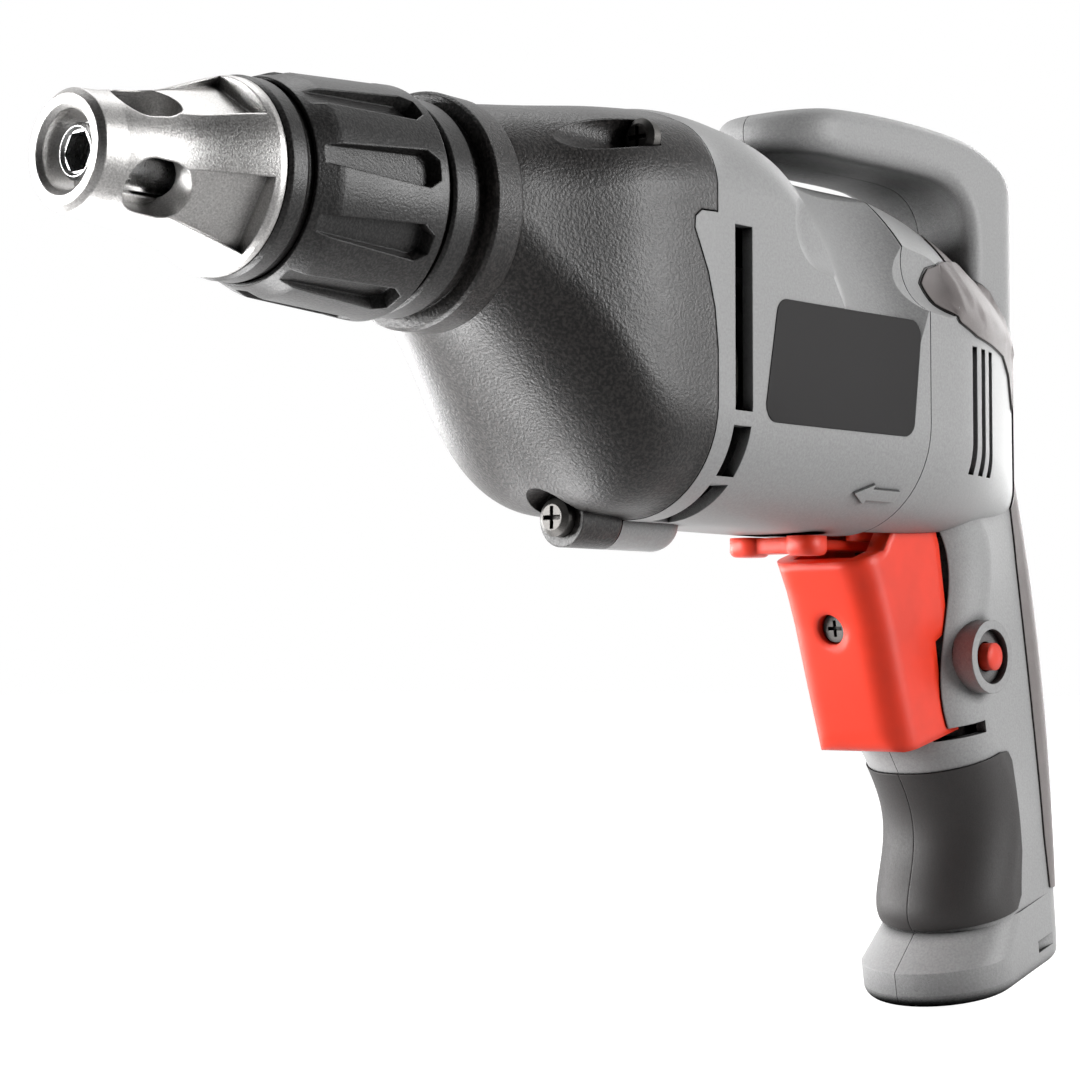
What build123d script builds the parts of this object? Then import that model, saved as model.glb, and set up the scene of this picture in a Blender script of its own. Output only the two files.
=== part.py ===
from build123d import *
import math
import os

# Corded pistol-grip drywall screwdriver, in millimetres.
# X runs along the spindle from the nose to the rear, -Y is the tool's left side, +Z is up.
# The origin is on the spindle axis, at the mouth of the hex bit socket.

# Standard interfaces
HEX_AF = 6.35
HEX_PLAY = 0.08
CORD_BORE_R = 4.2

# Travel of the moving pieces
SPINDLE_TRAVEL = 3.0

# Running gaps
RUN = 0.05
SEAM = 0.25

# Nose, sleeve and neck
NOSE_X = -2.5
NOSE_R = 10.6
NOSE_BORE_R = 7.0
CONE_REAR_X = 32.0
CONE_REAR_R = 18.0
FACET_ANGLE = -34.0
CARRIER_R = 18.5
NECK_R = 15.0
NECK_FRONT_X = 42.0
SLEEVE_X = (38.2, 43.4, 68.4)
SLEEVE_R = (19.0, 20.7, 22.4)
FLUTES = 10
FLUTE_ANGLE = 8.0
FLUTE_END_X = 65.0
RING_X = (70.5, 76.7)
RING_R = 21.0
COLLAR_X = (79.6, 86.7)
COLLAR_R = (23.1, 22.9)

# Spindle line
SHANK_R = 5.0
SPINDLE_R = 6.0
BUSH_R = 9.0
FLANGE_X = (99.5, 106.0)
DOG_H = 3.0
PILOT_R = 2.95

# Gear pair
MODULE = 1.0
PINION_TEETH = 12
GEAR_TEETH = 44
PRESSURE_ANGLE = 25.0
BACKLASH = 0.16
ADDENDUM = 0.9
DEDENDUM = 1.2
GEAR_X = (116.0, 126.0)
MOTOR_Z = -MODULE * (PINION_TEETH + GEAR_TEETH) / 2

# Housings
WALL = 2.6
FRONT_WALL_X = 97.0
SEAM_X = 134.5
HANDLE_X = 207.6
BORE_R = 27.8
GROOVE_R = 13.0
TOP_SCREW_YZ = (24.1, 16.8)
LOW_SCREW_Z = -57.2
SCREW_R = 2.0
HEAD_R = 3.9

# Motor
SHAFT_R = 4.0
STATOR_X = (157.0, 189.0)
FAN_X = (141.0, 149.0)
COMMUTATOR_X = (195.0, 203.0)
COMMUTATOR_R = 9.5

ARM_HW = 15.4

# Handle: its axis leans back from an origin under the motor's rear
LEAN = 10.0
GRIP_O = (259.5, -50.0)
TRIGGER_W = 26.4
RUBBER = 1.7
PROUD = 0.4

PARTS = {}


def face_x(x, z=0.0):
    return Plane(origin=(x, 0, z), x_dir=(0, 1, 0), z_dir=(1, 0, 0))


def rod(x0, x1, r, y=0.0, z=0.0):
    return Pos(0, y, 0) * extrude(face_x(x0, z) * Circle(r), x1 - x0)


def tube(x0, x1, outer, inner, y=0.0, z=0.0):
    return rod(x0, x1, outer, y, z) - rod(x0 - 1, x1 + 1, inner, y, z)


def pin_y(x, z, r, y0, y1):
    side = Plane(origin=(x, y0, z), x_dir=(1, 0, 0), z_dir=(0, 1, 0))
    return extrude(side * Circle(r), y1 - y0)


def turned(outline, z=0.0):
    wire = Polyline(*[(x, r + z) for x, r in outline], close=True)
    return revolve(Plane.XZ * make_face(wire), Axis((0, 0, z), (1, 0, 0)))


def slab(outline, y0, y1):
    face = Plane.XZ * make_face(Polyline(*outline, close=True))
    return Pos(0, y0, 0) * extrude(face, y1 - y0, dir=(0, 1, 0))


def block(x, y, z):
    size = (x[1] - x[0], y[1] - y[0], z[1] - z[0])
    mid = ((x[0] + x[1]) / 2, (y[0] + y[1]) / 2, (z[0] + z[1]) / 2)
    return Pos(*mid) * Box(*size)


def gear_face(teeth, phase):
    pitch = MODULE * teeth / 2
    base = pitch * math.cos(math.radians(PRESSURE_ANGLE))
    tip = pitch + ADDENDUM * MODULE
    root = pitch - DEDENDUM * MODULE
    low = max(base, root + 0.1)
    at_pitch = math.tan(math.radians(PRESSURE_ANGLE)) - math.radians(PRESSURE_ANGLE)
    half = math.pi / (2 * teeth) - BACKLASH / (4 * pitch) + at_pitch

    def flank(radius):
        a = math.acos(min(1.0, base / radius))
        return half - (math.tan(a) - a)

    radii = [root, low, (low + tip) / 2, tip]
    angles = [flank(low), flank(low), flank((low + tip) / 2), flank(tip)]
    points = []
    for k in range(teeth):
        mid = math.radians(phase) + 2 * math.pi * k / teeth
        side = [(r, mid - a) for r, a in zip(radii, angles)]
        side += [(r, mid + a) for r, a in reversed(list(zip(radii, angles)))]
        points += [(r * math.cos(t), r * math.sin(t)) for r, t in side]
    return make_face(Polyline(*points, close=True))


def gear(teeth, phase, x0, x1, z):
    return extrude(face_x(x0, z) * gear_face(teeth, phase), x1 - x0)


def coil(x0, x1, mean_r, wire_r, turns, z=0.0):
    pitch = (x1 - x0 - 2 * wire_r) / turns
    path = Helix(pitch, pitch * turns, mean_r)
    start = Plane(origin=path @ 0, z_dir=path % 0)
    wound = sweep(start * Circle(wire_r), path, is_frenet=True)
    return Pos(x0 + wire_r, 0, z) * Rot(0, 90, 0) * wound


def section(x, hw, bottom, corner, side_z, top_w, shoulder_z, top_z, bulge, inset=0.0):
    # Housing outline: flat bottom with round corners, upright sides, sloped shoulders and a crowned top
    flat = hw - corner
    hw, corner, top_w = hw - inset, corner - inset, top_w - inset * 0.6
    bottom, shoulder_z, top_z = bottom + inset, shoulder_z - inset * 0.9, top_z - inset
    low_z = bottom + corner
    slant = corner * math.sqrt(0.5)
    my = (hw + top_w) / 2 + bulge * (shoulder_z - side_z)
    mz = (side_z + shoulder_z) / 2 + bulge * (hw - top_w)

    def at(y, z):
        return Vector(x, y, z)

    edges = [
        Line(at(-flat, bottom), at(flat, bottom)),
        ThreePointArc(at(flat, bottom), at(flat + slant, low_z - slant), at(hw, low_z)),
        Line(at(hw, low_z), at(hw, side_z)),
        ThreePointArc(at(hw, side_z), at(my, mz), at(top_w, shoulder_z)),
        ThreePointArc(at(top_w, shoulder_z), at(0, top_z), at(-top_w, shoulder_z)),
        ThreePointArc(at(-top_w, shoulder_z), at(-my, mz), at(-hw, side_z)),
        Line(at(-hw, side_z), at(-hw, low_z)),
        ThreePointArc(at(-hw, low_z), at(-flat - slant, low_z - slant), at(-flat, bottom)),
    ]
    return Face(Wire(edges))


def twin(plane, c0, r0, c1, r1):
    # Outline round two circles on the plane's own X axis, joined by their tangents
    lean = (r0 - r1) / (c1 - c0)
    rise = math.sqrt(1 - lean * lean)
    p0, p1 = (c0 + r0 * lean, r0 * rise), (c1 + r1 * lean, r1 * rise)
    edges = [
        ThreePointArc((p0[0], p0[1]), (c0 - r0, 0), (p0[0], -p0[1])),
        Line((p0[0], -p0[1]), (p1[0], -p1[1])),
        ThreePointArc((p1[0], -p1[1]), (c1 + r1, 0), (p1[0], p1[1])),
        Line((p1[0], p1[1]), (p0[0], p0[1])),
    ]
    return plane * Face(Wire(edges))


# Housing outlines: station, half width, bottom, corner radius, top of the upright side,
# then the shoulder's half width and height, the crown and the shoulder's bulge
GEAR_STATIONS = (
    (85.0, 21.4, -21.4, 21.0, 0.5, 11.5, 18.0, 21.4, 0.13),
    (93.5, 23.6, -29.6, 23.0, 2.0, 13.0, 19.5, 22.7, 0.13),
    (101.5, 26.0, -38.4, 24.4, 4.0, 15.0, 20.4, 23.7, 0.13),
    (109.5, 28.6, -47.4, 25.0, 6.0, 17.0, 21.4, 24.8, 0.14),
    (115.5, 30.0, -52.8, 24.6, 7.0, 18.0, 22.2, 25.7, 0.14),
    (123.5, 30.9, -56.2, 23.6, 8.0, 19.0, 22.9, 26.8, 0.14),
    (SEAM_X, 31.3, -57.5, 23.0, 9.0, 20.0, 23.4, 28.0, 0.14),
)
SPINE_STATIONS = (
    (SEAM_X, 31.3, -57.5, 23.0, 9.0, 20.0, 23.4, 28.0, 0.14),
    (152.0, 31.3, -57.6, 23.2, 8.5, 19.5, 23.0, 27.6, 0.14),
    (163.0, 31.3, -57.7, 23.4, 5.0, 18.5, 20.8, 25.0, 0.12),
    (173.0, 31.4, -57.8, 23.6, -6.0, 16.5, 18.5, 22.6, 0.07),
    (HANDLE_X, 32.0, -58.0, 24.0, -8.0, 15.0, 16.6, 20.0, 0.06),
)
UPPER_STATIONS = (
    (HANDLE_X, 32.0, -58.0, 24.0, -8.0, 15.0, 16.6, 20.0, 0.06),
    (222.0, 30.5, -57.6, 22.0, -9.0, 14.0, 14.4, 17.8, 0.07),
    (238.0, 26.8, -57.0, 19.0, -10.0, 12.0, 10.4, 13.6, 0.09),
    (252.0, 21.5, -56.5, 16.0, -11.0, 10.0, 5.4, 8.6, 0.10),
    (264.6, 15.8, -56.0, 13.0, -12.0, 8.0, 0.5, 3.5, 0.12),
    (275.0, 9.0, -55.0, 8.0, -13.0, 5.0, -3.5, -1.0, 0.12),
)

# Grip: distance down the handle, front circle and rear circle (centre, radius)
GRIP_STATIONS = (
    (-24.0, -14.0, 16.0, 9.9, 11.0),
    (0.0, -14.0, 17.0, 10.9, 11.5),
    (25.0, -15.0, 17.0, 11.1, 12.5),
    (49.0, -17.5, 16.8, 10.4, 13.0),
    (61.0, -12.2, 16.6, 9.9, 13.0),
    (80.0, -11.6, 16.6, 8.5, 13.0),
    (97.0, -12.6, 16.8, 6.5, 13.0),
)
FOOT_STATIONS = (
    (95.0, -12.4, 16.8, 6.7, 13.0),
    (103.5, -22.0, 18.4, 4.6, 13.8),
    (112.0, -22.0, 18.4, 3.6, 13.8),
)


def on_grip(s, u):
    a = math.radians(LEAN)
    return (
        GRIP_O[0] + s * math.sin(a) + u * math.cos(a),
        GRIP_O[1] - s * math.cos(a) + u * math.sin(a),
    )


def grip_plane(s):
    a = math.radians(LEAN)
    x, z = on_grip(s, 0)
    return Plane(origin=(x, 0, z), x_dir=(math.cos(a), 0, math.sin(a)), z_dir=(math.sin(a), 0,
        -math.cos(a)))


def gear_form(inset, first=0):
    stations = GEAR_STATIONS[first:]
    return loft([section(*s, inset=inset) for s in stations])


def spine_form(inset):
    return loft([section(*s, inset=inset) for s in SPINE_STATIONS])


def upper_form(inset):
    stations = list(UPPER_STATIONS)
    stations[-1] = (stations[-1][0] - inset, *stations[-1][1:])
    return loft([section(*s, inset=inset) for s in stations])


def grip_form(inset):
    faces = [twin(grip_plane(s), c0, r0 - inset, c1, r1 - inset) for s, c0, r0, c1, r1 in GRIP_STATIONS]
    return loft(faces)


def foot_form(inset):
    faces = [twin(grip_plane(s), c0, r0 - inset, c1, r1 - inset) for s, c0, r0, c1, r1 in FOOT_STATIONS]
    foot = loft(faces, ruled=True)
    if inset == 0:
        low = grip_plane(FOOT_STATIONS[-1][0])
        foot = fillet([e for e in foot.edges() if abs(low.to_local_coords(e.center()).Z) < 0.01], 3.2)
    return foot


def groove(r):
    # Shallow finger channel along both flanks of the motor housing, running on to the handle
    start, end = Vector(170.0, -39.4, 5.0), Vector(216.0, -36.6, 2.0)
    line = Line(start, end)
    channel = sweep(Plane(origin=start, z_dir=line % 0) * Circle(r), line)
    channel += Pos(*start) * Sphere(r)
    channel += Pos(*end) * Sphere(r)
    return both_sides(channel)


def sector(x0, x1, inner, outer, a0, a1, z=0.0):
    # Ring segment about an axis along X; angles are counted from +Y towards +Z
    flat = Plane.XY * make_face(Polyline((x0, inner), (x0, outer), (x1, outer), (x1, inner), close=True))
    ring = revolve(flat, Axis.X, revolution_arc=a1 - a0)
    return Pos(0, 0, z) * Rot(a0, 0, 0) * ring


def around_x(shape, count, start=0.0):
    return [Rot(start + 360.0 * k / count, 0, 0) * shape for k in range(count)]


def both_sides(shape):
    return shape + mirror(shape, Plane.XZ)


def along_grip(s, u0, u1, r):
    x, z = on_grip(s, u0)
    a = math.radians(LEAN)
    back = Plane(origin=(x, 0, z), x_dir=(0, 1, 0), z_dir=(math.cos(a), 0, math.sin(a)))
    return extrude(back * Circle(r), u1 - u0)


def down_grip(s0, s1, u, r):
    return extrude(grip_plane(s0) * Pos(u, 0) * Circle(r), s1 - s0)


def grip_slab(outline, y0, y1):
    return slab([on_grip(s, u) for s, u in outline], y0, y1)


# Nose locator: flared metal cone with four flats and four sight windows
def make_nose_locator():
    outer = Spline((3.0, NOSE_R + 0.3), (9.0, 11.8), (15.5, 12.9), (22.0, 15.0),
        (CONE_REAR_X - 1.2, CONE_REAR_R))
    edges = [
        Polyline((3.0, NOSE_R + 0.3), (NOSE_X + 1.1, NOSE_R), (NOSE_X, NOSE_R - 1.1), (NOSE_X,
        NOSE_BORE_R + 0.9)),
        Polyline((NOSE_X, NOSE_BORE_R + 0.9), (NOSE_X + 0.9, NOSE_BORE_R), (24.0, NOSE_BORE_R),
        (24.0, 10.45)),
        Polyline((24.0, 10.45), (CONE_REAR_X, 10.45), (CONE_REAR_X, CONE_REAR_R),
        (CONE_REAR_X - 1.2, CONE_REAR_R)),
        outer,
    ]
    cone = revolve(Plane.XZ * make_face(edges), Axis.X)
    slope = Plane.XZ * make_face(Polyline((6.0, 10.5), (29.6, 14.0), (29.6, 30.0), (6.0, 30.0), close=True))
    pocket = Polyline((5.0, -2.6), (29.6, -7.6), (29.6, 7.6), (5.0, 2.6), close=True)
    facet = Pos(0, 20, 0) * extrude(slope, 40, dir=(0, -1, 0)) & extrude(make_face(pocket), 40)
    window = Pos(10.2, 0, 6.0) * extrude(SlotOverall(13.2, 10.4), 20)
    for cut in around_x(facet, 4, 90 - FACET_ANGLE):
        cone -= cut
    for cut in around_x(window, 4, 90 - FACET_ANGLE):
        cone -= cut
    return cone


# Carrier that the nose snaps on to; it slides on the neck as the sleeve turns
def make_locator_carrier():
    return turned((
        (24.4, 7.6), (24.4, 10.0), (24.9, 10.4), (CONE_REAR_X + 0.3, 10.4), (CONE_REAR_X + 0.3,
        CARRIER_R - 0.6),
        (33.2, CARRIER_R), (36.4, CARRIER_R), (37.2, 17.9), (62.0, 17.9), (62.0, NECK_R + RUN),
        (37.2, NECK_R + RUN),
        (37.2, 7.6),
    ))


# Fluted sleeve that sets the screwing depth
def make_depth_sleeve():
    x0, x1, x2 = SLEEVE_X
    r0, r1, r2 = SLEEVE_R
    sleeve = turned((
        (x0, 18.25), (x0, r0), (x1 - 1.0, r1 - 0.25), (x1, r1), (x2 - 0.8, r2), (x2, r2 - 0.8),
        (x2, NECK_R + RUN),
        (64.0, NECK_R + RUN), (64.0, 18.25),
    ))
    floor_r = r1 - 1.2
    flute = Plane.XY * make_face(Polyline(
        (x1 - 4.0, -1.6), (FLUTE_END_X - 2.0, -3.0), (FLUTE_END_X, -1.6), (FLUTE_END_X, 1.6),
        (FLUTE_END_X - 2.0, 3.0), (x1 - 4.0, 1.6), close=True,
    ))
    cutter = Pos(0, 0, floor_r) * extrude(flute, 12, taper=-14)
    for cut in around_x(cutter, FLUTES, 90 - FLUTE_ANGLE):
        sleeve -= cut
    return sleeve


def hex_prism(x0, x1, flats):
    return extrude(face_x(x0) * RegularPolygon(flats / math.sqrt(3), 6), x1 - x0)


def make_bit_holder():
    holder = turned((
        (0, 0), (0, SHANK_R - 0.6), (0.6, SHANK_R), (30.0, SHANK_R), (30.0, 2.9), (42.0, 2.9), (42.0, 0),
    ))
    holder -= hex_prism(-1, 14.0, HEX_AF + 2 * HEX_PLAY)
    holder -= rod(13.5, 18.0, 3.05)
    holder -= turned(((-0.1, 0), (-0.1, 4.3), (0.6, 3.75), (0.6, 0)))
    return holder - rod(4.0, 5.2, 4.4)


def make_retaining_ring():
    return tube(4.1, 5.1, 4.35, 3.75) - block((3, 6), (-0.8, 0.8), (0, 6))


def dogs(x0, x1, start):
    return [sector(x0, x1, 8.0, 13.0, start + 120 * k, start + 120 * k + 42) for k in range(3)]


def make_spindle():
    x0, x1 = FLANGE_X
    spindle = turned((
        (30.05, 3.0), (30.05, SPINDLE_R - 0.5), (30.55, SPINDLE_R), (x0, SPINDLE_R), (x0, 14.0), (x1, 14.0),
        (x1, PILOT_R), (x1 + 16, PILOT_R), (x1 + 16, 0), (42.2, 0), (42.2, 3.0),
    ))
    for dog in dogs(x1 - 0.5, x1 + DOG_H, 0):
        spindle += dog
    return spindle


def make_drive_gear():
    x0, x1 = GEAR_X
    wheel = gear(GEAR_TEETH, -90 + 180.0 / GEAR_TEETH, x0, x1, 0)
    wheel += rod(x1 - 0.5, 137.0, SHAFT_R - 0.02)
    wheel += rod(x1 - 0.5, x1 + 3.3, 5.6)
    for dog in dogs(FLANGE_X[1] + DOG_H + SPINDLE_TRAVEL + 0.3, x0 + 0.5, 60):
        wheel += dog
    return wheel - rod(x0 - 5, 125.6, PILOT_R + RUN)


def bearing(x0, x1, outer, inner, z):
    ring = tube(x0, x1, outer, inner, z=z)
    rail = (outer + inner) / 2
    for x in (x0 - 0.1, x1 - 0.5):
        ring -= tube(x, x + 0.6, rail + 1.4, rail - 1.4, z=z)
    return ring


BEARING_608 = (7.0, 11.0, 4.0)
BEARING_607 = (6.0, 9.5, 3.5)


def screw_bores(x0, x1, r):
    y, z = TOP_SCREW_YZ
    return [rod(x0, x1, r, -y, z), rod(x0, x1, r, y, z), rod(x0, x1, r, 0, LOW_SCREW_Z)]


LIP = ((SEAM_X + 1.0, 3.2), (129.6, 3.0), (127.8, 1.6), (127.6, -0.6), (129.0, -3.5), (131.6, -9.0),
       (133.6, -16.0), (SEAM_X, -24.0), (SEAM_X + 1.0, -24.0))
LIP_POCKET = ((SEAM_X + 1.0, 3.5), (129.4, 3.3), (127.5, 1.8), (127.3, -0.8), (128.7, -3.7), (131.3, -9.2),
              (133.3, -16.1), (SEAM_X - 0.3, -24.2), (SEAM_X + 1.0, -24.2))


def make_gear_housing(form, hollow):
    body = form
    body += turned(((COLLAR_X[0], 0), (COLLAR_X[0], COLLAR_R[0] - 0.6), (COLLAR_X[0] + 0.6, COLLAR_R[0]),
                    (COLLAR_X[1], COLLAR_R[1]), (COLLAR_X[1], 0)))
    body += rod(NECK_FRONT_X, COLLAR_X[0] + 1, NECK_R) + rod(RING_X[1] + 0.2, COLLAR_X[0] + 1, 19.6)
    cavity = hollow & block((FRONT_WALL_X, SEAM_X + 5), (-60, 60), (-90, 60))
    y, z = TOP_SCREW_YZ
    bosses = rod(FRONT_WALL_X - 1, SEAM_X, 6.0, -y, z) + rod(FRONT_WALL_X - 1, SEAM_X, 6.0, y, z)
    cavity -= bosses
    cavity -= rod(FRONT_WALL_X - 1, 98.0, 12.0)
    cavity -= rod(FRONT_WALL_X - 1, SEAM_X + 5, 8.2, 0, LOW_SCREW_Z)
    low_boss = rod(122.4, SEAM_X, 6.0, 0, LOW_SCREW_Z)
    body += low_boss
    body -= cavity - low_boss
    body -= rod(46.0, 98.5, BUSH_R)
    body -= rod(NECK_FRONT_X - 1, 47, SPINDLE_R + 1.2)
    for side in (-1, 1):
        body -= rod(96.0, 120.8, 4.4, side * y, z)
    scoop = Pos(104.0, 0, LOW_SCREW_Z - 1.5) * Rot(0, 12, 0) * Cylinder(7.2, 26, rotation=(0, 90, 0))
    body -= scoop + rod(108.0, 122.3, 5.6, 0, LOW_SCREW_Z)
    for bore in screw_bores(100.0, SEAM_X + 1, SCREW_R + 0.25):
        body -= bore
    body -= slab(LIP_POCKET, -60, 60)
    body -= block((SEAM_X - SEAM, SEAM_X + 5), (-60, 60), (-90, 60))
    return body


def make_bearing_plate(form):
    plate = form & block((130.2, SEAM_X - SEAM), (-60, 60), (-90, 60))
    plate += rod(128.6, 137.0, 13.4) + rod(129.6, 138.2, 13.4, z=MOTOR_Z)
    plate -= rod(129.6, 140, BEARING_608[1]) + rod(130.8, 140, BEARING_608[1], z=MOTOR_Z)
    plate -= rod(120, 140, 7.6, z=MOTOR_Z) + rod(120, 140, 6.2)
    y, z = TOP_SCREW_YZ
    plate -= rod(120, 140, 6.4, -y, z) + rod(120, 140, 6.4, y, z) + rod(120, 140, 8.6, 0, LOW_SCREW_Z)
    return plate


PLATE = ((149.8, -34.0), (154.4, -13.6), (155.6, -12.6), (200.2, -12.6), (203.2, -15.2), (200.6, -35.4),
         (198.6, -37.0), (151.8, -37.0))


def make_motor_housing(spine, spine_hollow, gear_outer, gear_hollow):
    body = spine - block((HANDLE_X - SEAM, 220), (-60, 60), (-90, 60)) - groove(GROOVE_R)
    body += rod(SEAM_X, 150.0, 6.0, 0, LOW_SCREW_Z) + Pos(150.0, 0, LOW_SCREW_Z) * Sphere(6.0)
    hollow = spine_hollow - groove(GROOVE_R + WALL) + rod(SEAM_X - 1, 204.6, BORE_R, z=MOTOR_Z)
    y, z = TOP_SCREW_YZ
    bosses = rod(SEAM_X, 152.0, 5.0, -y, z) + rod(SEAM_X, 152.0, 5.0, y, z)
    hollow -= bosses
    hollow -= rod(SEAM_X - 1, 150.0, 3.8, 0, LOW_SCREW_Z)
    body -= hollow & block((SEAM_X - 1, 204.6), (-60, 60), (-90, 60))
    body += rod(203.4, 211.0, 12.4, z=MOTOR_Z)
    body -= rod(204.8, 212, BEARING_607[1], z=MOTOR_Z) + rod(200, 212, 6.0, z=MOTOR_Z)
    for a in (45, 135, 225, 315):
        body -= sector(203.0, 209.0, 15.0, 26.0, a - 26, a + 26, MOTOR_Z)
    for bore in screw_bores(SEAM_X - 1, 148.0, SCREW_R - 0.1):
        body -= bore
    lip = slab(LIP, -60, 60) & gear_outer
    lip -= gear_hollow
    body += lip & block((120, SEAM_X + 0.4), (-60, 60), (-30, 10))
    vents = block((139.8, 145.4), (-40, -24), (-36.0, 1.5)) + block((139.8, 145.4), (-40, -18),
        (-49.0, -39.0))
    vents += block((139.8, 145.4), (-25.0, -9.0), (-64, -50.5))
    body -= both_sides(vents)
    body -= slab(PLATE, -40, -20) & (spine - spine_form(0.85))
    return body & block((100, 215), (-60, 60), (-90, 60))


def make_nameplate():
    skin = spine_form(-0.12) - spine_form(0.8)
    return skin & slab(PLATE, -40, -20)


def make_stator():
    core = tube(*STATOR_X, BORE_R - 0.1, 16.4, z=MOTOR_Z)
    for a in (14, 143, 194, 323):
        core -= sector(STATOR_X[0] - 1, STATOR_X[1] + 1, 15.5, 23.6, a, a + 23, MOTOR_Z)
    return core


def make_field_coils():
    coils = []
    x0, x1 = STATOR_X
    for start in (15.0, 195.0):
        coil_turns = sector(x0 - 4.0, x0 - 0.2, 17.2, 23.2, start, start + 150, MOTOR_Z)
        coil_turns += sector(x1 + 0.2, x1 + 4.0, 17.2, 23.2, start, start + 150, MOTOR_Z)
        for a in (start, start + 129):
            coil_turns += sector(x0 - 4.0, x1 + 4.0, 17.2, 23.2, a, a + 21, MOTOR_Z)
        coils.append(coil_turns)
    return coils


def make_rotor_core():
    core = tube(158.0, 188.0, 15.9, 5.0, z=MOTOR_Z)
    slot = block((150, 200), (-0.9, 0.9), (9.5, 20))
    for cut in around_x(slot, 12):
        core -= Pos(0, 0, MOTOR_Z) * cut
    return core


def make_fan():
    x0, x1 = FAN_X
    fan = tube(x0, x1, 9.0, SHAFT_R + 0.02, z=MOTOR_Z) + tube(x1 - 1.6, x1, 24.8, 8.0, z=MOTOR_Z)
    blade = block((x0, x1 - 1.0), (-0.7, 0.7), (8.5, 24.6))
    for vane in around_x(blade, 11):
        fan += Pos(0, 0, MOTOR_Z) * vane
    return fan


def make_arm():
    top = Spline((176.0, 33.4), (190.0, 36.0), (213.5, 38.0), (240.0, 38.0), (256.0, 36.0), (266.5,
        31.0), (272.6, 22.5),
                 (276.6, 10.0))
    under = Spline((250.0, 3.0), (250.0, 14.0), (248.2, 20.0), (243.0, 24.4), (233.0, 26.2),
        (218.0, 26.2), (202.0, 26.0),
                   (176.0, 26.8))
    rear = Polyline((276.6, 10.0), (274.6, -12.0), (250.0, -12.0), (250.0, 3.0))
    outline = make_face([top, rear, under, Line((176.0, 26.8), (176.0, 33.4))])
    arm = Pos(0, -20, 0) * extrude(Plane.XZ * outline, 40, dir=(0, 1, 0))
    plan = Pos(229.5, 0, -30) * extrude(SlotOverall(94.6, 2 * ARM_HW), 90)
    arm = arm & plan
    rims = [e for e in arm.edges() if e.center().Z > 16 and e.length > 12]
    for r in (4.0, 3.0, 2.0):
        try:
            return fillet(rims, r)
        except ValueError:
            print("arm rim radius", r, "refused")
    return arm


HANDLE_SCREWS = ((198.0, 31.8, 9.0), (260.0, 29.6, 9.0), (261.5, -24.0, 9.0), (*on_grip(62.0, 2.0), 9.0),
                 (*on_grip(97.5, 7.0), 9.0))
REAR_GRIP = ((228.0, 10.8), (232.0, 12.6), (264.0, 10.4), (290.0, 10.4), (315.0, -142.0), (284.4, -141.0),
             (281.4, -128.0), (276.0, -95.0), (270.6, -62.0), (268.4, -33.0), (266.2, -13.0), (240.0, -8.6),
             (230.0, -5.0), (228.0, -2.0))
FRONT_GRIP = ((225.0, -115.0), (241.0, -112.4), (257.0, -107.6), (261.6, -107.4), (263.4, -109.4),
    (267.4, -131.0),
              (267.0, -141.5), (264.4, -144.6), (225.0, -154.6))
TRIGGER_SIDE = ((4.6, -54.6), (3.4, -45.0), (0.6, -42.4), (-3.0, -38.6), (-3.0, -30.0), (-1.6,
    -26.4), (1.4, -23.9),
                (5.0, -23.0), (25.0, -23.0), (27.0, -28.5),
                (39.0, -28.5), (41.0, -23.0), (48.6, -23.0), (50.2, -45.0), (46.0, -46.5), (35.0, -48.3),
                (20.0, -50.5), (12.0, -52.2))
TRIGGER_GAP = ((8.0, -60.0), (-5.4, -60.0), (-5.4, -12.0), (49.2, -12.0), (50.8, -60.0))
TRIGGER_CORE = ((7.6, -49.2), (7.6, -40.2), (-8.0, -40.2), (-8.0, -10.0), (46.2, -10.0), (46.8,
    -42.8), (35.0, -45.2),
                (20.0, -47.3))
LOCK_XZ = (248.6, -85.0)
LEVER_PIVOT_X = 228.0
INLET_U = -10.0


def make_handle(outer, hollow, grips):
    body = outer
    cavity = hollow - groove(GROOVE_R + WALL)
    for x, z, seat in HANDLE_SCREWS:
        cavity -= pin_y(x, z, 5.0, -40, 40)
    body -= cavity
    body += pin_y(*LOCK_XZ, 8.6, -20.6, -15.2) - pin_y(*LOCK_XZ, 6.4, -21.0, -18.6)
    for x, z, seat in HANDLE_SCREWS:
        body -= pin_y(x, z, 3.3, seat, 40)
        body -= pin_y(x, z, 1.75, -8, 20)
    body -= grip_slab(TRIGGER_GAP, -TRIGGER_W / 2 - 0.4, TRIGGER_W / 2 + 0.4)
    body -= block((190, 236), (-TRIGGER_W / 2 - 0.4, TRIGGER_W / 2 + 0.4), (-66, -50))
    body -= groove(GROOVE_R)
    body -= pin_y(*LOCK_XZ, 3.5, -30, -10)
    vent = block((-1.4, 1.4), (-40, -12), (-44.0, -15.0))
    for x in (229.0, 234.6, 240.2):
        body -= both_sides(Pos(x, 0, 0) * vent)
    body -= down_grip(100.0, 120.0, INLET_U, 8.1)
    body -= grip_slab(((104.6, -2.0), (104.6, 14.0), (107.4, 14.0), (107.4, -2.0)), -40, -13.5)
    body -= grip_slab(((47.6, -30.0), (47.6, -17.0), (50.4, -17.0), (50.4, -30.0)), -40, 40)
    body -= Pos(263.0, -15.0, 33.0) * Rot(0, 28, 0) * Box(12.5, 10, 2.6)
    return body - grips


def half(shape, side):
    y = (SEAM / 4, 80) if side > 0 else (-80, -SEAM / 4)
    return shape & block((100, 400), y, (-300, 200))


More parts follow.
